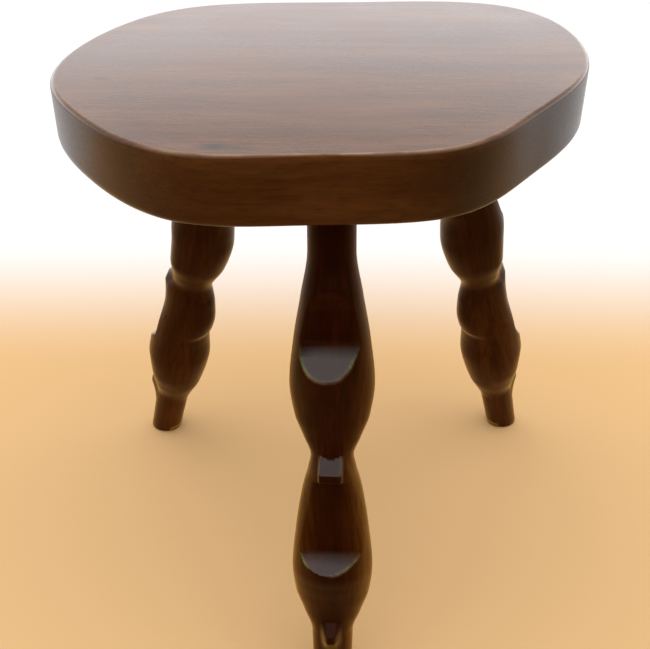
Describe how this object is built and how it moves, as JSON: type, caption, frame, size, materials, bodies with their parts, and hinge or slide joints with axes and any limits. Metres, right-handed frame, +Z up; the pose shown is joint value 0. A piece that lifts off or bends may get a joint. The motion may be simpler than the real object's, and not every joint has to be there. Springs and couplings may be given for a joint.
{
  "type": "three leg stool",
  "caption": "Low wooden stool: a thick rounded plank seat on carved, splayed legs, in a dark satin finish.",
  "frame": {"origin": "middle of the stool's bounding box, on the floor under it", "axes": "+Z up to the seat top, -Y towards the front leg, +X to the right of someone facing the front leg"},
  "size_m": [0.3514, 0.337, 0.377],
  "materials": {
    "seat_wood": "satin dark walnut stain",
    "leg_wood": "satin dark walnut stain"
  },
  "bodies": {
    "root": {"seat": "seat_wood", "front_leg": "leg_wood", "back_left_leg": "leg_wood", "back_right_leg": "leg_wood"}
  },
  "joints": []
}
